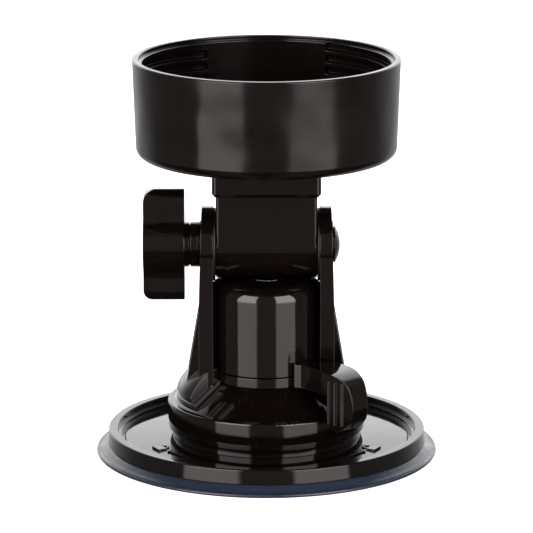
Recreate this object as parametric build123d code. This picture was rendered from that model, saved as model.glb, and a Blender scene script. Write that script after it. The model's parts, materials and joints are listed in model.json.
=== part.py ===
from build123d import *
import math
import os

# Windscreen suction mount: a threaded cup on a tilting knuckle, a yoke with a wing-knob clamp,
# and a suction base whose lever turns a cam that pulls up the middle of the rubber pad.
# Millimetres. +Z is up, -Y is the front, and the origin is the centre of the pad's underside.

# ---- suction pad and base disc ----
PAD_R = 45.0
PAD_LIP_T = 1.2
PAD_TOP_R = 41.6
PAD_TOP_Z = 2.7
DISC_R = 42.0
DISC_TOP_Z = 6.55
DISC_RIM_W = 2.6
DISC_FLOOR_Z = 4.0
DISC_HUB_Z = 4.7
DISC_HUB_R = 25.2
DISC_EYE_R = 13.2

# ---- lock housing: collar, cone and guide column ----
COLLAR_R = 26.1
COLLAR_TOP_Z = 14.2
COLLAR_BOTTOM = (25.8, 6.7)
COLLAR_BEND_Z = 10.2
COLLAR_BOW_R = 18.3
COLLAR_RIM_W = 1.3
FOOT_RING_R = (22.9, 24.9)
HOUSING_WALL = 2.0
NECK_R = 14.8
NECK_Z = 20.4
COLUMN_R = 8.0
COLUMN_TOP_Z = 40.0
BOSS_COUNT = 3
BOSS_R = 3.2
BOSS_PCD_R = 19.0
BOSS_PHASE = 90.0
BOSS_TOP_Z = 15.2

# ---- pull stud and cam ----
STUD_R = 3.0
STUD_FIT = 0.06
STUD_TOP_Z = 31.6
PLATE_R = 12.0
PLATE_Z = (1.5, 2.6)
PIN_R = 1.0
PIN_HALF_L = 11.4
LIFT = 2.0
LEVER_TRAVEL = 75.0
CAM_BASE_Z = 26.5
CAM_FLAT = 30.0
PIN_GAP = 0.1
PIN_Z = CAM_BASE_Z + PIN_R + PIN_GAP
SLOT_HALF_W = 1.12

# ---- lock lever ----
LEVER_NECK_R = 14.9
LEVER_NECK_Z = (20.6, 23.1)
LEVER_BORE_R = 8.08
CAM_R = 12.3
LEVER_TOP_Z = 27.0
LEVER_ARM_Z = 20.9
LEVER_AZ = -47.0
NOSE_PROFILE = ((30.6, 26.4), (33.3, 24.9), (35.0, 21.6), (35.5, 18.5), (34.6, 15.0), (32.2, 12.5))
PADDLE_INNER_R = 28.3
PADDLE_FOOT_Z = 11.7
RIB_XY = ((16.0, -23.5), (17.5, -24.7), (19.3, -25.8))
RIB_R = 0.45
RELIEF_R = 21.4

# ---- cap and yoke ----
CAP_R = 14.7
CAP_Z = (23.4, 46.85)
CAP_DOME_Z = 46.95
CAP_FILLET = 3.7
CAP_WALL = 2.0
SCREW_RECESS_R = 4.0
SCREW_SEAT_Z = 42.0
ARM_X = (14.0, 17.4)
ARM_HALF_Y = 10.0
ARM_EAR_R = 10.1
ARM_LOW_Z = 19.8
ARM_DRAFT = ((17.0, 66.2), (17.75, 40.0))
SPOT_FACE_R = 6.3
FOOT_SPAN = (33.0, 38.2)
FOOT_TOP_Z = 24.4
FOOT_INNER_R = 15.3
FOOT_OUTER_R = 23.8
FOOT_BROW = ((17.5, 24.0), (20.0, 22.5), (22.2, 20.0), (23.7, 17.2))
FOOT_UNDER_R = 22.9
FLANGE_T = 1.3
CONE_GAP = 0.2
GUSSET_TOP_Z = 39.5
GUSSET_FOOT = (21.0, 20.2)
GUSSET_Y = (4.4, 6.6)

# ---- tilt pivot ----
PIVOT_Z = 55.9
BOLT_R = 2.45
BOLT_FIT = 0.07
BOLT_HEAD_R = 4.85
BOLT_HEAD_X = (17.7, 19.25)
BOLT_END_X = -30.0
SQUARE_HALF = 2.6
SQUARE_FIT = 0.05
FRICTION_WASHER_R = 9.6
KNUCKLE_BOSS_R = 8.2
KNUCKLE_BOSS_X = 13.35
WASHER_X = (13.4, 14.0)
SLEEVE_R = 4.0
KNOB_WASHER_R = 5.95

# ---- tilting knuckle ----
KNUCKLE_HALF_Y = 8.7
KNUCKLE_HALF_X = 13.2
FLANGE_HALF = (14.2, 9.6)
FLANGE_LOW_Z = 70.3
FLANGE_CHAMFER = 0.9
BARREL_R = 8.7

# ---- threaded cup ----
CUP_Z = (79.9, 105.6)
CUP_FOOT_R = 34.0
CUP_RIM_R = 34.9
CUP_FLOOR_T = 3.6
CUP_BORE_R = 32.4
CUP_MOUTH_R = 33.3
CUP_MOUTH_Z = 104.6
CUP_FILLET = 2.6
THREAD_LEAD = 6.4
THREAD_STARTS = 2
THREAD_DEPTH = 1.0
THREAD_MOUTH_W = 2.3
THREAD_ROOT_W = 1.1
THREAD_TOP_Z = 102.3
THREAD_ROWS = 5
LAND_HALF_ANGLE = 29.0

# ---- small fasteners ----
CUP_SCREW_XY = (9.0, 5.0)
CUP_SCREW_R = 1.25
CUP_SCREW_HEAD_R = 2.6
CUP_SCREW_HEAD_T = 1.7
CUP_SCREW_SINK = 1.9
CUP_SCREW_TIP_Z = 73.0
CUP_SCREW_CLEARANCE = 0.25
DRIVE_HALF = 0.35

# ---- wing knob ----
KNOB_SEAT_X = -18.2
KNOB_GROOVE_X = (-19.9, -20.3)
KNOB_GROOVE_R = 5.5
KNOB_WING_X = (-21.5, -32.3)
KNOB_NECK_R = 5.95
KNOB_HUB_R = 7.2
KNOB_HALF_SPAN = 14.9
KNOB_WING_HALF_T = 3.0
KNOB_TIP_R = 2.8
KNOB_BLEND_R = 3.5
KNOB_CORNER_R = 3.2
NUT_R = 4.2
NUT_X = (-19.0, -29.0)
NUT_FIT = 0.03

UP = (Align.CENTER, Align.CENTER, Align.MIN)


def turned(points):
    """A solid of revolution about Z from a closed (radius, height) outline."""
    outline = Polyline(*[(r, 0, z) for r, z in points], close=True)
    return revolve(make_face(outline), Axis.Z, 360)


def upright(radius, z_low, z_high, x=0.0, y=0.0):
    """A vertical round bar."""
    return Pos(x, y, z_low) * Cylinder(radius, z_high - z_low, align=UP)


def tube(outer_r, inner_r, z_low, z_high):
    return upright(outer_r, z_low, z_high) - upright(inner_r, z_low - 1, z_high + 1)


def crosswise(radius, x_from, x_to, z=PIVOT_Z):
    """A round bar along X."""
    x_low, x_high = min(x_from, x_to), max(x_from, x_to)
    return Pos(x_low, 0, z) * Rot(0, 90, 0) * Cylinder(radius, x_high - x_low, align=UP)


def block(x_span, y_span, z_span):
    """A box given by its span along each axis."""
    size = [high - low for low, high in (x_span, y_span, z_span)]
    middle = [(high + low) / 2 for low, high in (x_span, y_span, z_span)]
    return Pos(*middle) * Box(*size)


def polar(radius, angle):
    a = math.radians(angle)
    return radius * math.cos(a), radius * math.sin(a)


def sector_prism(half_angle, middle_angle, radius, z_low, z_high):
    """A wedge about Z that reaches past the given radius."""
    reach = radius / math.cos(math.radians(half_angle))
    left = polar(reach, middle_angle + half_angle)
    right = polar(reach, middle_angle - half_angle)
    face = make_face(Polyline((0, 0), right, left, close=True))
    return Pos(0, 0, z_low) * extrude(face, z_high - z_low)


def helical_bar(section_points, radius, lead, turn_angle):
    """A bar that climbs about Z, from a section given as (radius, height) points at azimuth 0."""
    path = Helix(lead, lead * turn_angle / 360, radius)
    section = make_face(Polyline(*[(r, 0, z) for r, z in section_points], close=True))
    return sweep(section, path=path, is_frenet=True)


# ---------------------------------------------------------------- suction base

def suction_pad():
    """Flexible disc with a thin lip, and a pocket in its top for the pull plate."""
    body = turned([
        (0, 0), (PAD_R - 0.4, 0), (PAD_R, 0.4), (PAD_R, PAD_LIP_T - 0.3), (PAD_R - 0.4, PAD_LIP_T),
        (PAD_TOP_R, PAD_TOP_Z), (0, PAD_TOP_Z),
    ])
    return body - upright(PLATE_R + 0.5, PLATE_Z[0] - 0.3, PAD_TOP_Z + 1)


def base_disc():
    """Stiff disc over the pad: a flat rim, a step and a shallow conical floor."""
    rim_inner = DISC_R - DISC_RIM_W
    body = turned([
        (DISC_EYE_R, PAD_TOP_Z), (DISC_R, PAD_TOP_Z), (DISC_R - 0.2, DISC_TOP_Z - 0.3),
        (DISC_R - 0.5, DISC_TOP_Z), (rim_inner + 0.2, DISC_TOP_Z), (rim_inner, DISC_TOP_Z - 0.2),
        (rim_inner - 0.1, DISC_FLOOR_Z + 0.9), (rim_inner - 0.9, DISC_FLOOR_Z + 0.8),
        (rim_inner - 1.0, DISC_FLOOR_Z - 0.3), (rim_inner - 1.8, DISC_FLOOR_Z - 0.3),
        (rim_inner - 2.0, DISC_FLOOR_Z), (DISC_HUB_R, DISC_HUB_Z), (DISC_EYE_R, DISC_HUB_Z),
    ])
    for x, y in boss_centres():
        body -= upright(1.6, PAD_TOP_Z - 1, DISC_HUB_Z + 1, x, y)
        body -= upright(2.9, PAD_TOP_Z - 1, PAD_TOP_Z + 1.0, x, y)
    return body


def boss_centres():
    step = 360 / BOSS_COUNT
    return [polar(BOSS_PCD_R, BOSS_PHASE + i * step) for i in range(BOSS_COUNT)]


def housing_screws():
    """Three flat-headed screws that hold the disc to the housing from below."""
    screws = []
    for x, y in boss_centres():
        head = upright(2.7, PAD_TOP_Z + 0.05, PAD_TOP_Z + 1.0, x, y)
        shank = upright(1.25, PAD_TOP_Z + 0.9, 11.5, x, y)
        slot_span = (PAD_TOP_Z, PAD_TOP_Z + 0.5)
        slot = block((x - 2.0, x + 2.0), (y - DRIVE_HALF, y + DRIVE_HALF), slot_span)
        cross = block((x - DRIVE_HALF, x + DRIVE_HALF), (y - 2.0, y + 2.0), slot_span)
        screws.append(head + shank - slot - cross)
    return Compound(children=screws)


def cone_edge():
    """Where the housing's cone meets the flat rim of the collar, as (radius, height)."""
    return COLLAR_R - 0.4 - COLLAR_RIM_W, COLLAR_TOP_Z


def cone_height(radius):
    edge_r, edge_z = cone_edge()
    return edge_z + (edge_r - radius) * (NECK_Z - edge_z) / (edge_r - NECK_R)


def lock_housing():
    """Round housing: a collar tucked in on a foot ring, a cone, and the column for the stud."""
    wall = HOUSING_WALL
    bottom_r, bottom_z = COLLAR_BOTTOM
    ring_in, ring_out = FOOT_RING_R
    rim_r = COLLAR_R - 0.4
    under_neck = (NECK_R - 0.8, NECK_Z - wall)
    under_cone = (rim_r - COLLAR_RIM_W - 0.9, COLLAR_TOP_Z - wall)
    with BuildPart() as shell:
        with BuildSketch(Plane.XZ):
            with BuildLine():
                Polyline((ring_out, DISC_HUB_Z), (ring_out, bottom_z), (bottom_r - 0.2, bottom_z),
                         (bottom_r, bottom_z + 0.2))
                RadiusArc((bottom_r, bottom_z + 0.2), (COLLAR_R, COLLAR_BEND_Z), -COLLAR_BOW_R)
                Line((COLLAR_R, COLLAR_BEND_Z), (COLLAR_R, COLLAR_TOP_Z - 0.5))
                RadiusArc((COLLAR_R, COLLAR_TOP_Z - 0.5), (rim_r, COLLAR_TOP_Z), -0.6)
                Polyline((rim_r, COLLAR_TOP_Z), cone_edge(), (NECK_R, NECK_Z), (COLUMN_R, NECK_Z),
                         (COLUMN_R, COLUMN_TOP_Z), (0, COLUMN_TOP_Z), (0, NECK_Z - wall),
                         under_neck, under_cone, (under_cone[0], bottom_z + 2.0),
                         (ring_in, bottom_z), (ring_in, DISC_HUB_Z), (ring_out, DISC_HUB_Z))
            make_face()
        revolve(axis=Axis.Z)
    body = shell.part
    for x, y in boss_centres():
        boss = upright(BOSS_R, DISC_HUB_Z, BOSS_TOP_Z, x, y)
        body += boss - upright(1.25, DISC_HUB_Z - 1, 11.5, x, y)
    body -= upright(STUD_R + STUD_FIT, 0, 34.0)
    body -= upright(1.5, 33.0, COLUMN_TOP_Z + 1)
    body -= upright(4.5, NECK_Z - wall - 1, NECK_Z + 2.0)
    body -= block((-COLUMN_R - 1, COLUMN_R + 1), (-SLOT_HALF_W, SLOT_HALF_W),
                  (CAM_BASE_Z - 0.2, PIN_Z + PIN_R + LIFT + 0.4))
    body -= tube(13.0, 9.2, NECK_Z - 0.6, NECK_Z + 0.5)
    return body


def stud_bush():
    """Flanged plain bearing for the pull stud, pressed into the housing from below."""
    top_plate = NECK_Z - HOUSING_WALL
    flange = tube(6.2, STUD_R + STUD_FIT, top_plate - 1.2, top_plate)
    return flange + tube(4.5, STUD_R + STUD_FIT, top_plate - 0.1, NECK_Z + 2.0)


def lever_washer():
    return tube(12.9, 9.3, NECK_Z - 0.6, NECK_Z + 0.1)


def pull_plate():
    return tube(PLATE_R, STUD_R - 0.4, *PLATE_Z)


def pull_stud():
    """Steel stud riveted into the pull plate, cross-drilled near its top."""
    rivet = upright(STUD_R - 0.4, PLATE_Z[0], PLATE_Z[1] + 0.1)
    shoulder = upright(STUD_R + 1.6, PLATE_Z[1], PLATE_Z[1] + 1.4)
    shank = upright(STUD_R, PLATE_Z[1], STUD_TOP_Z)
    shank = chamfer(shank.edges().group_by(Axis.Z)[-1], 0.5)
    return rivet + shoulder + shank - crosswise(PIN_R, -STUD_R - 1, STUD_R + 1, PIN_Z)


def cross_pin():
    pin = crosswise(PIN_R, -PIN_HALF_L, PIN_HALF_L, PIN_Z)
    return chamfer(pin.edges().filter_by(GeomType.CIRCLE), 0.2)


# ---------------------------------------------------------------- lock lever

def lever_cam():
    """Cam sleeve with two ramps of LIFT over LEVER_TRAVEL, each ending on a flat."""
    lead = LIFT * 360 / LEVER_TRAVEL
    sleeve = tube(CAM_R, LEVER_BORE_R, LEVER_NECK_Z[0], CAM_BASE_Z + LIFT)
    inside, outside, above = LEVER_BORE_R - 1, CAM_R + 1, LIFT + 1.5
    section = [(inside, 0), (outside, 0), (outside, above), (inside, above)]
    entry = 180 - LEVER_TRAVEL - CAM_FLAT
    for side in (0, 180):
        ramp_cut = helical_bar(section, (inside + outside) / 2, lead, LEVER_TRAVEL)
        sleeve -= Pos(0, 0, CAM_BASE_Z) * Rot(0, 0, side) * ramp_cut
        sleeve -= sector_prism(entry / 2 + 0.05, side - entry / 2, outside + 4, CAM_BASE_Z,
                               CAM_BASE_Z + above)
    return sleeve


def lever_plan():
    """Plan outline of the arm and paddle at rest: concave front, broad root, blunt tip."""
    root, front = (7.2, -14.9), (8.9, -15.3)
    tip_front, tip_back = (22.8, -28.1), (26.5, -24.6)
    with BuildSketch() as plan:
        with BuildLine():
            Polyline((7.2, -12.4), root, front)
            Spline(front, (12.4, -18.9), (15.4, -22.9), (20.2, -26.3), tip_front,
                   tangents=[(0.9, -0.55), (0.82, -0.57)])
            Line(tip_front, tip_back)
            Spline(tip_back, (24.2, -20.6), (21.0, -15.2), (17.2, -11.6),
                   tangents=[(-0.45, 0.9), (-0.7, 0.65)])
            Polyline((17.2, -11.6), (13.5, -11.0), (10.4, -8.8), (7.2, -12.4))
        make_face()
    return plan.sketch


def lever_side():
    """Side outline of the arm and paddle, as (distance from the axis, height)."""
    crown, heel = (25.0, LEVER_TOP_Z), (30.4, PADDLE_FOOT_Z)
    with BuildSketch(Plane.XZ) as side:
        with BuildLine():
            Polyline((0, LEVER_ARM_Z), (0, LEVER_TOP_Z), crown)
            Spline(crown, *NOSE_PROFILE, heel, tangents=[(1, -0.04), (-1, -0.2)])
            Polyline(heel, (PADDLE_INNER_R, PADDLE_FOOT_Z + 1.2), (PADDLE_INNER_R, LEVER_ARM_Z),
                     (0, LEVER_ARM_Z))
        make_face()
    return side.sketch


def lock_lever():
    """Lever ring with its cam, arm and ribbed paddle, all one moulding."""
    blank = Pos(0, 0, PADDLE_FOOT_Z - 1) * extrude(lever_plan(), LEVER_TOP_Z - PADDLE_FOOT_Z + 2)
    side = extrude(lever_side(), 20, both=True)
    arm = blank & (Rot(0, 0, LEVER_AZ) * side)
    arm -= upright(CAP_R + 0.35, LEVER_NECK_Z[1], LEVER_TOP_Z + 2)
    arm -= upright(CAM_R - 1, 0, LEVER_TOP_Z + 2)
    arm -= sector_prism(9.5, -29.5, RELIEF_R, 0, FOOT_TOP_Z + 0.4)
    lever = tube(LEVER_NECK_R, LEVER_BORE_R, *LEVER_NECK_Z) + lever_cam() + arm
    for x, y in RIB_XY:
        lever += upright(RIB_R, PADDLE_FOOT_Z + 1.8, LEVER_TOP_Z - 2.0, x, y)
    return lever


# ---------------------------------------------------------------- yoke and cap

def yoke_arm(side):
    """One cheek of the yoke: round ear, drafted shank and two thin outside gussets."""
    inner, outer = ARM_X
    (top_x, top_z), (low_x, low_z) = ARM_DRAFT
    cheek = crosswise(ARM_EAR_R, inner, low_x)
    cheek += block((inner, low_x), (-ARM_HALF_Y, ARM_HALF_Y), (ARM_LOW_Z, PIVOT_Z))
    slant = make_face(Polyline((top_x, 0, top_z), (low_x, 0, low_z), (low_x + 2, 0, low_z),
                               (low_x + 2, 0, top_z), close=True))
    cheek -= Pos(0, ARM_EAR_R + 1, 0) * extrude(slant, 2 * ARM_EAR_R + 2, dir=(0, -1, 0))
    cheek += crosswise(SPOT_FACE_R, inner, outer)
    cheek -= crosswise(SPOT_FACE_R, outer, outer + 1)
    foot_x, foot_z = GUSSET_FOOT
    web = make_face(Polyline((outer - 0.5, 0, GUSSET_TOP_Z), (low_x, 0, GUSSET_TOP_Z),
                             (foot_x, 0, foot_z), (outer - 0.5, 0, foot_z), close=True))
    for y_low, y_high in (GUSSET_Y, (-GUSSET_Y[1], -GUSSET_Y[0])):
        cheek += Pos(0, y_high, 0) * extrude(web, y_high - y_low, dir=(0, -1, 0))
    return cheek if side > 0 else mirror(cheek, Plane.YZ)


def foot_skirt():
    """Full ring of the rounded foot, tucked in below, before it is cut to its span."""
    inner, under = FOOT_INNER_R, FOOT_UNDER_R
    with BuildPart() as skirt:
        with BuildSketch(Plane.XZ):
            with BuildLine():
                Polyline((under, COLLAR_TOP_Z), (inner, COLLAR_TOP_Z), (inner, FOOT_TOP_Z),
                         FOOT_BROW[0])
                Spline(*FOOT_BROW, tangents=[(1, -0.35), (0.25, -1)])
                Line(FOOT_BROW[-1], (under, COLLAR_TOP_Z))
            make_face()
        revolve(axis=Axis.Z)
    return skirt.part


def foot_flange():
    """Full ring of the thin flange that shows as a step at each end of a foot."""
    inner, outer = FOOT_INNER_R, FOOT_OUTER_R
    return turned([
        (inner, COLLAR_TOP_Z), (outer, COLLAR_TOP_Z), (outer, cone_height(outer) + FLANGE_T),
        (inner, cone_height(inner) + FLANGE_T),
    ])


def yoke_foot(side):
    """Flared foot that carries a cheek on the housing's cone."""
    middle = 0 if side > 0 else 180
    skirt_span, flange_span = FOOT_SPAN
    skirt = foot_skirt() & sector_prism(skirt_span, middle, 40.0, 0, 30)
    return skirt + (foot_flange() & sector_prism(flange_span, middle, 40.0, 0, 30))


def housing_clearance():
    """Everything the yoke must leave free for the housing's cone, the lever ring and the cam."""
    outer = FOOT_OUTER_R + 1
    return turned([
        (0, 0), (outer, 0), (outer, cone_height(outer) + CONE_GAP),
        (FOOT_INNER_R, cone_height(FOOT_INNER_R) + CONE_GAP), (FOOT_INNER_R, CAP_Z[0]),
        (0, CAP_Z[0]),
    ])


def cap_shell():
    """Outside of the cap: straight wall, rounded shoulder and a low dome."""
    low, high = CAP_Z
    shoulder_r = CAP_R - CAP_FILLET
    dome_r = (shoulder_r**2 + (CAP_DOME_Z - high) ** 2) / (2 * (CAP_DOME_Z - high))
    with BuildPart() as cap:
        with BuildSketch(Plane.XZ):
            with BuildLine():
                Polyline((0, CAP_DOME_Z), (0, low), (CAP_R, low), (CAP_R, high - CAP_FILLET))
                RadiusArc((CAP_R, high - CAP_FILLET), (shoulder_r, high), -CAP_FILLET)
                RadiusArc((shoulder_r, high), (0, CAP_DOME_Z), -dome_r)
            make_face()
        revolve(axis=Axis.Z)
    return cap.part


def yoke_cap():
    """Cap over the column with the yoke's two cheeks, one moulding."""
    low, high = CAP_Z
    body = cap_shell()
    for side in (1, -1):
        body += yoke_arm(side) + yoke_foot(side)
    body -= housing_clearance()
    body -= upright(CAP_R - CAP_WALL, low - 1, high - 3.0) - upright(COLUMN_R, COLUMN_TOP_Z, high)
    body -= upright(1.7, COLUMN_TOP_Z - 1, high)
    body -= upright(SCREW_RECESS_R, SCREW_SEAT_Z, high + 2)
    body -= crosswise(BOLT_R + BOLT_FIT, -ARM_X[1] - 1, 0)
    hole = SQUARE_HALF + SQUARE_FIT
    body -= block((0, ARM_X[1] + 1), (-hole, hole), (PIVOT_Z - hole, PIVOT_Z + hole))
    return body


def cap_screw():
    """Pan-head screw down the middle of the cap into the column."""
    head = upright(3.3, SCREW_SEAT_Z + 0.5, SCREW_SEAT_Z + 2.6)
    head = fillet(head.edges().group_by(Axis.Z)[-1], 0.8)
    shank = upright(1.5, 34.6, SCREW_SEAT_Z + 0.6)
    drive_z = (SCREW_SEAT_Z + 1.4, SCREW_SEAT_Z + 4)
    drive = block((-2.2, 2.2), (-DRIVE_HALF, DRIVE_HALF), drive_z)
    drive += block((-DRIVE_HALF, DRIVE_HALF), (-2.2, 2.2), drive_z)
    return head + shank - drive


def cap_washer():
    return tube(3.7, 1.65, SCREW_SEAT_Z, SCREW_SEAT_Z + 0.5)


# ---------------------------------------------------------------- tilt pivot

def x_ring(outer_r, inner_r, x_from, x_to):
    return crosswise(outer_r, x_from, x_to) - crosswise(inner_r, x_from - 1, x_to + 1)


def dome(radius, height):
    """A shallow spherical cap on the XY plane."""
    sphere_r = (radius**2 + height**2) / (2 * height)
    with BuildPart() as cap:
        with BuildSketch(Plane.XZ):
            with BuildLine():
                Polyline((0, height), (0, 0), (radius, 0))
                RadiusArc((radius, 0), (0, height), -sphere_r)
            make_face()
        revolve(axis=Axis.Z)
    return cap.part


def pivot_bolt():
    """Dome-headed bolt with a square neck that keeps it from turning in the right cheek."""
    head_x, head_end = BOLT_HEAD_X
    head = crosswise(BOLT_HEAD_R, head_x, head_x + 0.2)
    head += Pos(head_x + 0.2, 0, PIVOT_Z) * Rot(0, 90, 0) * dome(BOLT_HEAD_R, head_end - head_x - 0.2)
    neck = block((ARM_X[0] + 0.2, head_x + 0.1), (-SQUARE_HALF, SQUARE_HALF),
                 (PIVOT_Z - SQUARE_HALF, PIVOT_Z + SQUARE_HALF))
    shank = crosswise(BOLT_R, BOLT_END_X, head_x + 0.1)
    return shank + neck + head


def head_washer():
    hole = SQUARE_HALF + SQUARE_FIT
    plate = crosswise(BOLT_HEAD_R - 0.2, ARM_X[1], BOLT_HEAD_X[0])
    return plate - block((ARM_X[1] - 1, BOLT_HEAD_X[0] + 1), (-hole, hole),
                         (PIVOT_Z - hole, PIVOT_Z + hole))


def friction_washer(side):
    low, high = WASHER_X
    bore = math.hypot(SQUARE_HALF, SQUARE_HALF) + 0.1
    return x_ring(FRICTION_WASHER_R, bore, side * low, side * high)


def pivot_sleeve():
    return x_ring(SLEEVE_R, BOLT_R + BOLT_FIT, -KNUCKLE_BOSS_X, KNUCKLE_BOSS_X)


def knob_washer():
    return x_ring(KNOB_WASHER_R, BOLT_R + 0.1, KNOB_SEAT_X, -ARM_X[1] - 0.05)


def tilt_knuckle():
    """Block that swings between the cheeks and carries the cup on a chamfered flange."""
    top = CUP_Z[0]
    wide_x, wide_y = FLANGE_HALF
    slab = block((-KNUCKLE_HALF_X, KNUCKLE_HALF_X), (-KNUCKLE_HALF_Y, KNUCKLE_HALF_Y),
                 (PIVOT_Z, FLANGE_LOW_Z + 1))
    slab = fillet(slab.edges().filter_by(Axis.Z), 0.8)
    flange = block((-wide_x, wide_x), (-wide_y, wide_y), (FLANGE_LOW_Z, top))
    flange = fillet(flange.edges().filter_by(Axis.Z), 1.2)
    flange = chamfer(flange.edges().group_by(Axis.Z)[0], FLANGE_CHAMFER)
    body = slab + crosswise(BARREL_R, -KNUCKLE_HALF_X, KNUCKLE_HALF_X) + flange
    body += crosswise(KNUCKLE_BOSS_R, -KNUCKLE_BOSS_X, KNUCKLE_BOSS_X)
    body -= crosswise(SLEEVE_R, -wide_x, wide_x)
    for x, y in cup_screw_centres():
        body -= upright(CUP_SCREW_R, CUP_SCREW_TIP_Z, top + 1, x, y)
    return body


# ---------------------------------------------------------------- wing knob

def knob_blade():
    """Hub and round-tipped wings, squared at the neck side and rounded at the outer corners."""
    inner, outer = KNOB_WING_X
    with BuildSketch() as section:
        Circle(KNOB_HUB_R)
        Rectangle(2 * KNOB_HALF_SPAN, 2 * KNOB_WING_HALF_T)
        roots = section.vertices().filter_by(lambda v: abs(v.X) < KNOB_HUB_R)
        fillet(roots, KNOB_BLEND_R)
        tips = section.vertices().filter_by(lambda v: abs(v.X) > KNOB_HALF_SPAN - 0.1)
        fillet(tips, KNOB_TIP_R)
    prism = Pos(outer, 0, PIVOT_Z) * Rot(0, 90, 0) * extrude(section.sketch, inner - outer)
    with BuildSketch(Plane.XZ) as outline:
        with Locations(((inner + outer) / 2, PIVOT_Z)):
            Rectangle(inner - outer, 2 * KNOB_HALF_SPAN)
        corners = outline.vertices().group_by(Axis.X)[0]
        fillet(corners, KNOB_CORNER_R)
    return prism & extrude(outline.sketch, KNOB_HUB_R + 1, both=True)


def wing_knob():
    """Two-winged clamp knob on the left end of the pivot bolt."""
    inner, outer = KNOB_WING_X
    body = crosswise(KNOB_NECK_R, KNOB_SEAT_X, inner - 0.5)
    body -= x_ring(KNOB_NECK_R + 1, KNOB_GROOVE_R, *sorted(KNOB_GROOVE_X))
    body += knob_blade()
    body -= crosswise(BOLT_R + 0.25, KNOB_SEAT_X + 1, outer + 1.0)
    return body - crosswise(NUT_R, *NUT_X)


def knob_nut():
    """Brass threaded insert moulded into the knob."""
    return x_ring(NUT_R, BOLT_R + NUT_FIT, *sorted(NUT_X))


# ---------------------------------------------------------------- threaded cup

def thread_groove(z, middle_angle):
    """One helical groove across the threaded side of the bore."""
    span = 180 - 2 * LAND_HALF_ANGLE
    mouth, root = THREAD_MOUTH_W / 2, THREAD_ROOT_W / 2
    inside, bottom = CUP_BORE_R - 0.5, CUP_BORE_R + THREAD_DEPTH
    slope = (mouth - root) / THREAD_DEPTH
    flare = mouth + slope * 0.5
    section = [(inside, -flare), (bottom, -root), (bottom, root), (inside, flare)]
    groove = helical_bar(section, CUP_BORE_R, THREAD_LEAD, span)
    z_start = z + THREAD_LEAD * (-span / 2) / 360
    return Pos(0, 0, z_start) * Rot(0, 0, middle_angle - span / 2) * groove


def cup_screw_centres():
    x, y = CUP_SCREW_XY
    return [(sx * x, sy * y) for sx in (1, -1) for sy in (1, -1)]


def threaded_cup():
    """Open cup whose bore is threaded on its left and right, with plain lands front and back."""
    low, high = CUP_Z
    slope_r = CUP_RIM_R - CUP_FOOT_R
    body = turned([
        (0, low), (CUP_FOOT_R, low), (CUP_RIM_R, high - 0.3), (CUP_RIM_R - 0.3, high),
        (CUP_MOUTH_R + 0.2, high), (CUP_MOUTH_R, high - 0.2), (CUP_MOUTH_R, CUP_MOUTH_Z),
        (CUP_BORE_R, CUP_MOUTH_Z - slope_r / 3), (CUP_BORE_R, low + CUP_FLOOR_T),
        (0, low + CUP_FLOOR_T),
    ])
    outer_foot = body.edges().filter_by(GeomType.CIRCLE).group_by(Axis.Z)[0]
    body = fillet(outer_foot, CUP_FILLET)
    row_step = THREAD_LEAD / THREAD_STARTS
    for row in range(THREAD_ROWS):
        for middle in (0, 180):
            body -= thread_groove(THREAD_TOP_Z - row * row_step, middle)
    for x, y in cup_screw_centres():
        floor_z = low + CUP_FLOOR_T
        body -= upright(CUP_SCREW_R + CUP_SCREW_CLEARANCE, low - 1, floor_z + 1, x, y)
        body -= upright(CUP_SCREW_HEAD_R + 0.3, floor_z - CUP_SCREW_SINK, floor_z + 1, x, y)
    return body


def cup_screws():
    """Four screws from inside the cup into the knuckle."""
    seat = CUP_Z[0] + CUP_FLOOR_T - CUP_SCREW_SINK
    screws = []
    for x, y in cup_screw_centres():
        head = upright(CUP_SCREW_HEAD_R, seat, seat + CUP_SCREW_HEAD_T, x, y)
        head = fillet(head.edges().group_by(Axis.Z)[-1], 0.5)
        shank = upright(CUP_SCREW_R, CUP_SCREW_TIP_Z + 0.4, seat + 0.1, x, y)
        drive_z = (seat + 0.9, seat + 3)
        drive = block((x - 1.7, x + 1.7), (y - DRIVE_HALF, y + DRIVE_HALF), drive_z)
        drive += block((x - DRIVE_HALF, x + DRIVE_HALF), (y - 1.7, y + 1.7), drive_z)
        screws.append(head + shank - drive)
    return Compound(children=screws)


NODES = {
    "suction_pad": suction_pad,
    "base_disc": base_disc,
    "housing_screws": housing_screws,
    "lock_housing": lock_housing,
    "stud_bush": stud_bush,
    "lever_washer": lever_washer,
    "pull_plate": pull_plate,
    "pull_stud": pull_stud,
    "cross_pin": cross_pin,
    "lock_lever": lock_lever,
    "yoke_cap": yoke_cap,
    "cap_screw": cap_screw,
    "cap_washer": cap_washer,
    "pivot_bolt": pivot_bolt,
    "head_washer": head_washer,
    "friction_washer_right": lambda: friction_washer(1),
    "friction_washer_left": lambda: friction_washer(-1),
    "pivot_sleeve": pivot_sleeve,
    "knob_washer": knob_washer,
    "tilt_knuckle": tilt_knuckle,
    "wing_knob": wing_knob,
    "knob_nut": knob_nut,
    "threaded_cup": threaded_cup,
    "cup_screws": cup_screws,
}

os.makedirs("parts", exist_ok=True)
for name, make in NODES.items():
    export_step(make(), f"parts/{name}.step")
    print(name)
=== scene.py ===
import json
import math

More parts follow.
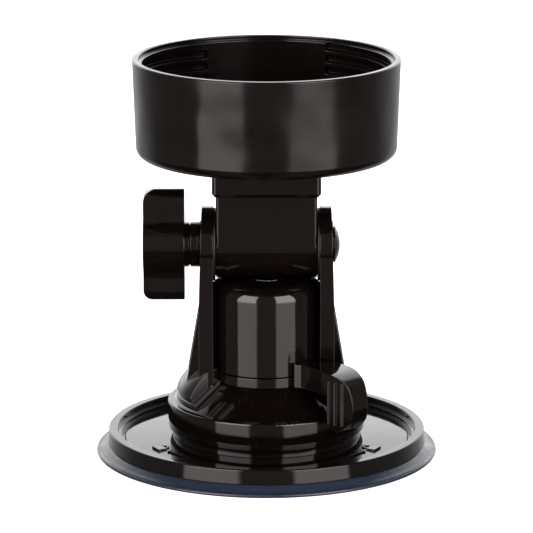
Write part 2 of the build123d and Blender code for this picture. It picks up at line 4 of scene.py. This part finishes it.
import bmesh
import bpy
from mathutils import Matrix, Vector


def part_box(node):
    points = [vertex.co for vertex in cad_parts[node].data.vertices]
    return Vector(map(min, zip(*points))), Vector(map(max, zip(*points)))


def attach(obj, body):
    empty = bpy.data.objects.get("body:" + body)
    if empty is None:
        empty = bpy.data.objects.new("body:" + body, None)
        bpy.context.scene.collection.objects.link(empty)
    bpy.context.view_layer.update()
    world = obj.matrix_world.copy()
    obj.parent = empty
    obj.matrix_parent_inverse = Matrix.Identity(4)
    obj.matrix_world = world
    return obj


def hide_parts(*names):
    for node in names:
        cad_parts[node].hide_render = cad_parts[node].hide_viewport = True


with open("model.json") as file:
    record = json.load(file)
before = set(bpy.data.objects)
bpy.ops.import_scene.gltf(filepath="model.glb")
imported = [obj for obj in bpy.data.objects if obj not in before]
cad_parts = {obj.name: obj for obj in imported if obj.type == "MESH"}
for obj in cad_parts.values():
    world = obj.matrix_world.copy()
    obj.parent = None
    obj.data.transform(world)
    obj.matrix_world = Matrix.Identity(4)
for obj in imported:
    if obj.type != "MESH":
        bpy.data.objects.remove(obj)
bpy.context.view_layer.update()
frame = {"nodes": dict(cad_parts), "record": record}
MM = 0.001

# ---- camera: long lens, slightly above the object ----
CAMERA_DISTANCE = 0.9664
CAMERA_ELEVATION = math.radians(13.62)
AIM_HEIGHT = 0.04985
LENS_MM = 248.3
SENSOR_MM = 36.0

# ---- studio: angles in degrees, azimuth measured from the front ----
SOFTBOX_SPAN = (20.0, 61.0)
SOFTBOX_SOFT_EDGES = (2.5, 1.5)
SOFTBOX_LOW = 1.8
SOFTBOX_HIGH = 5.8
SOFTBOX_RISE = (-14.0, 7.0)
SOFTBOX_TOP = (45.0, 52.0)
HORIZON_CUT = (-21.0, -15.5)
HORIZON_CUT_END = (105.0, 140.0)
BELOW_HORIZON = 0.06
FRONT_LIGHT = 0.2
SIDE_LIGHT = 0.16
FRONT_TO_SIDE = (20.0, 70.0)
SIDE_TO_REAR = (96.0, 104.0)
REAR_LOW = 0.6
REAR_LOW_SPAN = (100.0, 168.0)
REAR_HIGH = 2.1
REAR_HIGH_SPAN = (124.0, 154.0)
REAR_SIDE_GAIN = 1.6
REAR_RISE = (-13.0, 8.0)
REAR_TOP = (44.0, 54.0)
ZENITH_LIGHT = 0.05
WARM = (1.0, 0.93, 0.91, 1.0)
NEUTRAL = (1.0, 0.995, 0.99, 1.0)
WARM_TO_NEUTRAL = (70.0, 130.0)
PAPER_LEVEL = 1.1
FLOOR_HALF = 6.0
FLOOR_GLOW = 0.75

# ---- finishes ----
BLACK = (0.0027, 0.0017, 0.0014)
EDGE_ROUND = 0.28 * MM
# painted shade in narrow gaps: ambient occlusion within this reach fades the reflection out
CREVICE_SHADE_REACH = 1.5 * MM
CREVICE_SHADE_OPENNESS = (0.3, 0.65)
FULL_GLOSS = 0.5
CLOUD_SCALE = 90.0
CLOUD_TONES = (0.75, 1.3)
DUST_COLOUR = (0.05, 0.048, 0.045, 1.0)
DUST_SCALE = 2600.0
DUST_SPECKS = (0.68, 0.8)
DUST_SHARE = 0.5
PLASTIC_IOR = 1.52
EVEN_POLISH = (220.0, 0.75, 1.35)
CLOUDY_POLISH = (34.0, 0.6, 1.6)
POLISH_NOISE = (0.3, 0.7)
STREAK_SCALE = 900.0
STREAK_DARKEST = 0.85
METAL_POLISH = (0.8, 1.3)
METAL_WAVE = (0.05, 200.0)
PAD_DEEP = (0.011, 0.016, 0.03, 1.0)
PAD_PALE = (0.02, 0.029, 0.05, 1.0)
PAD_CLOUD_SCALE = 60.0
PAD_POLISH_SCALE = 240.0
PAD_ROUGHNESS = (0.2, 0.32)
PAD_CLEARNESS = 0.12
PAD_IOR = 1.5
PAD_WAVE = (0.15, 45.0)

# ---- pad skin ----
PAD_ROLL_R = 0.5
POCKET_GAP = 0.5
POCKET_Z = 1.2

# ---- raised marks on the disc: a locked and an open padlock, each with an arrow ----
MARK_RADIUS = 31.0
MARK_SCALE = 1.5
MARK_HEIGHT = 0.35
MARK_SINK = 0.45
MARK_FLOOR_DROP = 2.1
LOCKED_AZ = -152.0
OPEN_AZ = -28.0


class Graph:
    """Short-hand for wiring a node tree."""

    def __init__(self, tree):
        tree.nodes.clear()
        self.nodes, self.links = tree.nodes, tree.links

    def add(self, kind, **settings):
        node = self.nodes.new(kind)
        for key, value in settings.items():
            setattr(node, key, value)
        return node

    def put(self, value, socket):
        if hasattr(value, "is_output"):
            self.links.new(value, socket)
        else:
            socket.default_value = value

    def math(self, operation, a, b=0.0):
        node = self.add("ShaderNodeMath", operation=operation)
        for value, socket in zip((a, b), node.inputs):
            self.put(value, socket)
        return node.outputs[0]

    def ramp(self, value, low, high, to_low=0.0, to_high=1.0):
        node = self.add("ShaderNodeMapRange", interpolation_type="SMOOTHSTEP")
        for item, socket in zip((value, low, high, to_low, to_high), node.inputs):
            self.put(item, socket)
        return node.outputs[0]

    def blend(self, share, first, second):
        """first where share is 0, second where it is 1."""
        keep = self.math("MULTIPLY", first, self.math("SUBTRACT", 1.0, share))
        return self.math("ADD", keep, self.math("MULTIPLY", second, share))

    def noise(self, vector, scale, detail=3.0, roughness=0.5):
        node = self.add("ShaderNodeTexNoise")
        self.put(vector, node.inputs["Vector"])
        self.put(scale, node.inputs["Scale"])
        self.put(detail, node.inputs["Detail"])
        self.put(roughness, node.inputs["Roughness"])
        return node.outputs["Fac"]

    def mix_colour(self, share, first, second):
        node = self.add("ShaderNodeMix", data_type="RGBA")
        self.put(share, node.inputs[0])
        self.put(first, node.inputs[6])
        self.put(second, node.inputs[7])
        return node.outputs[2]


# ---------------------------------------------------------------- studio

def softbox_share(g, azimuth, elevation):
    """1 inside either softbox, 0 outside."""
    inner, outer = SOFTBOX_SPAN
    soft_in, soft_out = SOFTBOX_SOFT_EDGES
    share = g.math("MULTIPLY", g.ramp(azimuth, inner - soft_in, inner + soft_in),
                   g.ramp(azimuth, outer - soft_out, outer + soft_out, 1.0, 0.0))
    return g.math("MULTIPLY", share, g.ramp(elevation, *SOFTBOX_TOP, 1.0, 0.0))


def studio_level(g, azimuth, elevation):
    """Brightness of the surroundings in a direction."""
    front = g.ramp(azimuth, *FRONT_TO_SIDE, FRONT_LIGHT, SIDE_LIGHT)
    rear_low = g.ramp(azimuth, *REAR_LOW_SPAN, SIDE_LIGHT, REAR_LOW)
    rear_high = g.ramp(azimuth, *REAR_HIGH_SPAN, REAR_SIDE_GAIN * SIDE_LIGHT, REAR_HIGH)
    rear = g.blend(g.ramp(elevation, *REAR_RISE), rear_low, rear_high)
    level = g.blend(g.ramp(azimuth, *SIDE_TO_REAR), front, rear)
    level = g.blend(g.ramp(elevation, *REAR_TOP), level, ZENITH_LIGHT)
    box_level = g.ramp(elevation, *SOFTBOX_RISE, SOFTBOX_LOW, SOFTBOX_HIGH)
    level = g.blend(softbox_share(g, azimuth, elevation), level, box_level)
    below = g.ramp(elevation, *HORIZON_CUT, BELOW_HORIZON, 1.0)
    before_rear = g.ramp(azimuth, *HORIZON_CUT_END, 1.0, 0.0)
    return g.blend(before_rear, level, g.math("MULTIPLY", level, below))


def studio_world():
    """White paper to the camera; to the object, two tall softboxes and a bright backdrop."""
    world = bpy.data.worlds.new("studio")
    bpy.context.scene.world = world
    world.use_nodes = True
    g = Graph(world.node_tree)
    split = g.add("ShaderNodeSeparateXYZ")
    g.put(g.add("ShaderNodeTexCoord").outputs["Generated"], split.inputs[0])
    x, y, z = split.outputs
    turn = g.math("ARCTAN2", x, g.math("MULTIPLY", y, -1.0))
    azimuth = g.math("DEGREES", g.math("ABSOLUTE", turn))
    elevation = g.math("DEGREES", g.math("ARCSINE", z))
    studio = g.add("ShaderNodeBackground")
    tint = g.mix_colour(g.ramp(azimuth, *WARM_TO_NEUTRAL), WARM, NEUTRAL)
    g.put(tint, studio.inputs["Color"])
    g.put(studio_level(g, azimuth, elevation), studio.inputs["Strength"])
    paper = g.add("ShaderNodeBackground")
    paper.inputs["Color"].default_value = (1.0, 1.0, 1.0, 1.0)
    paper.inputs["Strength"].default_value = PAPER_LEVEL
    either = g.add("ShaderNodeMixShader")
    g.put(g.add("ShaderNodeLightPath").outputs["Is Camera Ray"], either.inputs[0])
    g.put(studio.outputs[0], either.inputs[1])
    g.put(paper.outputs[0], either.inputs[2])
    g.put(either.outputs[0], g.add("ShaderNodeOutputWorld").inputs["Surface"])


def camera():
    data = bpy.data.cameras.new("view")
    data.lens = LENS_MM
    data.sensor_width = SENSOR_MM
    obj = bpy.data.objects.new("view", data)
    bpy.context.scene.collection.objects.link(obj)
    back = CAMERA_DISTANCE * math.cos(CAMERA_ELEVATION)
    up = CAMERA_DISTANCE * math.sin(CAMERA_ELEVATION)
    obj.location = (0.0, -back, AIM_HEIGHT + up)
    aim = Vector((0.0, 0.0, AIM_HEIGHT)) - obj.location
    obj.rotation_euler = aim.to_track_quat("-Z", "Y").to_euler()
    bpy.context.scene.camera = obj


def floor():
    """Pale sheet that the object stands on."""
    size = FLOOR_HALF
    mesh = bpy.data.meshes.new("floor")
    corners = [(-size, -size, 0), (size, -size, 0), (size, size, 0), (-size, size, 0)]
    mesh.from_pydata(corners, [], [(0, 1, 2, 3)])
    obj = bpy.data.objects.new("floor", mesh)
    bpy.context.scene.collection.objects.link(obj)
    g, shader = new_material("paper", mesh)
    shader.inputs["Base Color"].default_value = (0.95, 0.95, 0.95, 1.0)
    shader.inputs["Roughness"].default_value = 0.9
    shader.inputs["Emission Color"].default_value = (1.0, 1.0, 1.0, 1.0)
    shader.inputs["Emission Strength"].default_value = FLOOR_GLOW
    obj.visible_glossy = False


# ---------------------------------------------------------------- finishes

def new_material(name, mesh=None):
    """A node material with its surface shader wired up, put on the mesh if one is given."""
    material = bpy.data.materials.new(name)
    material.use_nodes = True
    g = Graph(material.node_tree)
    shader = g.add("ShaderNodeBsdfPrincipled")
    g.put(shader.outputs[0], g.add("ShaderNodeOutputMaterial").inputs["Surface"])
    if mesh:
        mesh.materials.append(material)
    return g, shader


def opaque(colour):
    return (*colour, 1.0)


def tone(colour, factor):
    return tuple(c * factor for c in colour)


def wavy_normal(g, place, wave, wave_scale):
    """Softened edges, with a slow waviness over the faces."""
    edges = g.add("ShaderNodeBevel", samples=6)
    edges.inputs["Radius"].default_value = EDGE_ROUND
    bump = g.add("ShaderNodeBump")
    bump.inputs["Strength"].default_value = wave
    bump.inputs["Distance"].default_value = MM
    g.put(g.noise(place, wave_scale, 2.0), bump.inputs["Height"])
    g.put(edges.outputs[0], bump.inputs["Normal"])
    return bump.outputs[0]


def painted_crevice_shade(g):
    """Painted shade: the reflection fades out where ambient occlusion finds a narrow gap, which then
    stays black; full gloss in the open.
    """
    gap = g.add("ShaderNodeAmbientOcclusion", samples=8)
    gap.inputs["Distance"].default_value = CREVICE_SHADE_REACH
    return g.ramp(gap.outputs["AO"], *CREVICE_SHADE_OPENNESS, 0.0, FULL_GLOSS)


def plastic(name, colour, roughness, wave=0.1, wave_scale=60.0, patch=EVEN_POLISH):
    """Moulded plastic: slow waviness, uneven polish, a little pale dust, and painted shade in narrow
    gaps.
    """
    g, shader = new_material(name)
    place = g.add("ShaderNodeTexCoord").outputs["Object"]
    cloud = g.noise(place, CLOUD_SCALE, 4.0)
    dark, pale = (opaque(tone(colour, factor)) for factor in CLOUD_TONES)
    body = g.mix_colour(cloud, dark, pale)
    dust = g.ramp(g.noise(place, DUST_SCALE, 2.0), *DUST_SPECKS, 0.0, DUST_SHARE)
    g.put(g.mix_colour(dust, body, DUST_COLOUR), shader.inputs["Base Color"])
    patch_scale, smooth, rough = patch
    polish = g.noise(place, patch_scale, 5.0, 0.6)
    gloss = g.ramp(polish, *POLISH_NOISE, roughness * smooth, roughness * rough)
    g.put(gloss, shader.inputs["Roughness"])
    shader.inputs["IOR"].default_value = PLASTIC_IOR
    # painted shade: reflections are cut off in narrow gaps, which then stay black
    g.put(painted_crevice_shade(g), shader.inputs["Specular IOR Level"])
    g.put(wavy_normal(g, place, wave, wave_scale), shader.inputs["Normal"])


def metal(name, colour, roughness):
    """Plated or turned metal with fine streaks."""
    g, shader = new_material(name)
    place = g.add("ShaderNodeTexCoord").outputs["Object"]
    streak = g.noise(place, STREAK_SCALE, 3.0)
    dark = opaque(tone(colour, STREAK_DARKEST))
    g.put(g.mix_colour(streak, dark, opaque(colour)), shader.inputs["Base Color"])
    shader.inputs["Metallic"].default_value = 1.0
    smooth, rough = METAL_POLISH
    gloss = g.ramp(streak, *POLISH_NOISE, roughness * smooth, roughness * rough)
    g.put(gloss, shader.inputs["Roughness"])
    g.put(wavy_normal(g, place, *METAL_WAVE), shader.inputs["Normal"])


def clear_pad(name):
    """Soft translucent vinyl over a dark disc: slate blue, cloudy, with a wet gloss."""
    g, shader = new_material(name)
    place = g.add("ShaderNodeTexCoord").outputs["Object"]
    cloud = g.noise(place, PAD_CLOUD_SCALE, 4.0)
    g.put(g.mix_colour(cloud, PAD_DEEP, PAD_PALE), shader.inputs["Base Color"])
    polish = g.noise(place, PAD_POLISH_SCALE, 4.0)
    g.put(g.ramp(polish, *POLISH_NOISE, *PAD_ROUGHNESS), shader.inputs["Roughness"])
    shader.inputs["Transmission Weight"].default_value = PAD_CLEARNESS
    shader.inputs["IOR"].default_value = PAD_IOR
    g.put(wavy_normal(g, place, *PAD_WAVE), shader.inputs["Normal"])


FINISHES = {
    "gloss_black": (plastic, BLACK, 0.06, 0.12, 55.0),
    "cup_black": (plastic, BLACK, 0.15, 1.4, 30.0, CLOUDY_POLISH),
    "lever_black": (plastic, BLACK, 0.08, 0.15, 80.0),
    "knob_black": (plastic, BLACK, 0.14, 0.3, 110.0),
    "washer_black": (plastic, (0.01, 0.01, 0.01), 0.45),
    "acetal": (plastic, (0.5, 0.49, 0.45), 0.4),
    "pad_clear": (clear_pad,),
    "black_steel": (metal, (0.035, 0.034, 0.033), 0.22),
    "zinc_steel": (metal, (0.62, 0.62, 0.6), 0.28),
    "brass": (metal, (0.75, 0.56, 0.27), 0.25),
}


def finish_of(slot):
    """The slot's material, made the first time it is asked for."""
    name = f"finish_{slot}"
    if name not in bpy.data.materials:
        make, *settings = FINISHES[slot]
        make(name, *settings)
    return bpy.data.materials[name]


def dress_nodes():
    """Gives every CAD node its slot's finish."""
    for part in frame["record"]["subparts"]:
        mesh = frame["nodes"][part["node"]].data
        mesh.materials.clear()
        mesh.materials.append(finish_of(part["material_slot"]))


# ---------------------------------------------------------------- pieces

def add_piece(name, bm, body, slot):
    """Turns a bmesh in millimetres into a piece that rides on a body."""
    bmesh.ops.scale(bm, vec=(MM, MM, MM), verts=bm.verts)
    bmesh.ops.recalc_face_normals(bm, faces=bm.faces)
    mesh = bpy.data.meshes.new(name)
    bm.to_mesh(mesh)
    bm.free()
    obj = bpy.data.objects.new(name, mesh)
    bpy.context.scene.collection.objects.link(obj)
    mesh.materials.append(finish_of(slot))
    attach(obj, body)
    return obj


def turned_piece(name, profile, body, slot, steps=240):
    """A solid of revolution about Z from (radius, height) points, with both ends on the axis."""
    bm = bmesh.new()
    rings = []
    for r, z in profile[1:-1]:
        angles = [2 * math.pi * i / steps for i in range(steps)]
        rings.append([bm.verts.new((r * math.cos(a), r * math.sin(a), z)) for a in angles])
    for low, high in zip(rings, rings[1:]):
        for i in range(steps):
            j = (i + 1) % steps
            bm.faces.new((low[i], low[j], high[j], high[i]))
    for ring, (_, z) in ((rings[0], profile[0]), (rings[-1], profile[-1])):
        middle = bm.verts.new((0, 0, z))
        for i in range(steps):
            bm.faces.new((ring[i], ring[(i + 1) % steps], middle))
    obj = add_piece(name, bm, body, slot)
    for face in obj.data.polygons:
        face.use_smooth = True
    return obj


def pad():
    """Flexible pad with a rolled edge, a shallow groove inside it, and a pocket for the plate."""
    outer = -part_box("suction_pad")[0][0] / MM
    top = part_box("suction_pad")[1][2] / MM
    pocket_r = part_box("pull_plate")[1][0] / MM + POCKET_GAP
    roll = arc(PAD_ROLL_R, -90, 90, 10, (outer - PAD_ROLL_R, PAD_ROLL_R))
    profile = [(0, 0), *roll, (outer - 0.9, 0.86), (outer - 1.2, 0.98), (outer - 2.2, 1.5),
               (outer - 3.4, top - 0.1), (outer - 3.6, top), (pocket_r, top), (pocket_r, POCKET_Z),
               (0, POCKET_Z)]
    obj = turned_piece("pad_skin", profile, "base", "pad_clear")
    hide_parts("suction_pad")


def prism(bm, outline, low, high):
    """An upright solid over a plan outline."""
    bottom = [bm.verts.new((x, y, low)) for x, y in outline]
    top = [bm.verts.new((x, y, high)) for x, y in outline]
    bm.faces.new(bottom[::-1])
    bm.faces.new(top)
    for i in range(len(outline)):
        j = (i + 1) % len(outline)
        bm.faces.new((bottom[i], bottom[j], top[j], top[i]))


def arc(radius, start, end, steps=14, centre=(0.0, 0.0)):
    points = []
    for i in range(steps + 1):
        a = math.radians(start + (end - start) * i / steps)
        points.append((centre[0] + radius * math.cos(a), centre[1] + radius * math.sin(a)))
    return points


def padlock_outlines(is_open):
    """Body and shackle in the mark's own plane, +Y towards its top."""
    half_w, body_low, body_top = 1.25, -1.3, 0.35
    bow_r, bow_w = 0.85, 0.36
    lift = 0.55 if is_open else 0.15
    body = [(-half_w, body_low), (half_w, body_low), (half_w, body_top), (-half_w, body_top)]
    centre = (0.0, body_top + lift)
    outer = arc(bow_r, 0, 180, centre=centre)
    inner = arc(bow_r - bow_w, 180, 0, centre=centre)
    right_foot = body_top + (0.3 if is_open else -0.1)
    left_foot = body_top - 0.1
    shackle = [(bow_r, right_foot), *outer, (-bow_r, left_foot), (-bow_r + bow_w, left_foot), *inner,
               (bow_r - bow_w, right_foot)]
    return [body, shackle]


def arrow_outline(azimuth, turn):
    """A curved arrow on the mark circle whose head ends beside the padlock."""
    width, head = 0.3, 0.85
    gap, head_length, sweep = 5.2, 2.6, 13.0
    tip, neck, tail = (azimuth + turn * (gap + step) for step in (0.0, head_length, sweep))
    near = arc(MARK_RADIUS - width, tail, neck)
    far = arc(MARK_RADIUS + width, neck, tail)
    barb_in = arc(MARK_RADIUS - head, neck, neck, 1)[0]
    barb_out = arc(MARK_RADIUS + head, neck, neck, 1)[0]
    point = arc(MARK_RADIUS, tip, tip, 1)[0]
    return [*near, barb_in, point, barb_out, *far]


def mark(name, azimuth, turn, is_open):
    """A raised padlock and arrow on the disc, with the padlock's top towards the middle."""
    floor_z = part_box("base_disc")[1][2] / MM - MARK_FLOOR_DROP
    low, high = floor_z - MARK_SINK, floor_z + MARK_HEIGHT
    bm = bmesh.new()
    a = math.radians(azimuth)
    away, along = Vector((math.cos(a), math.sin(a))), Vector((-math.sin(a), math.cos(a)))
    for outline in padlock_outlines(is_open):
        points = [away * (MARK_RADIUS - MARK_SCALE * v) + along * MARK_SCALE * u for u, v in outline]
        prism(bm, points, low, high)
    prism(bm, arrow_outline(azimuth, turn), low, high)
    add_piece(name, bm, "base", "gloss_black")


bpy.context.scene.view_settings.view_transform = "Standard"
camera()
studio_world()
floor()
dress_nodes()
pad()
mark("mark_locked", LOCKED_AZ, 1.0, False)
mark("mark_open", OPEN_AZ, -1.0, True)
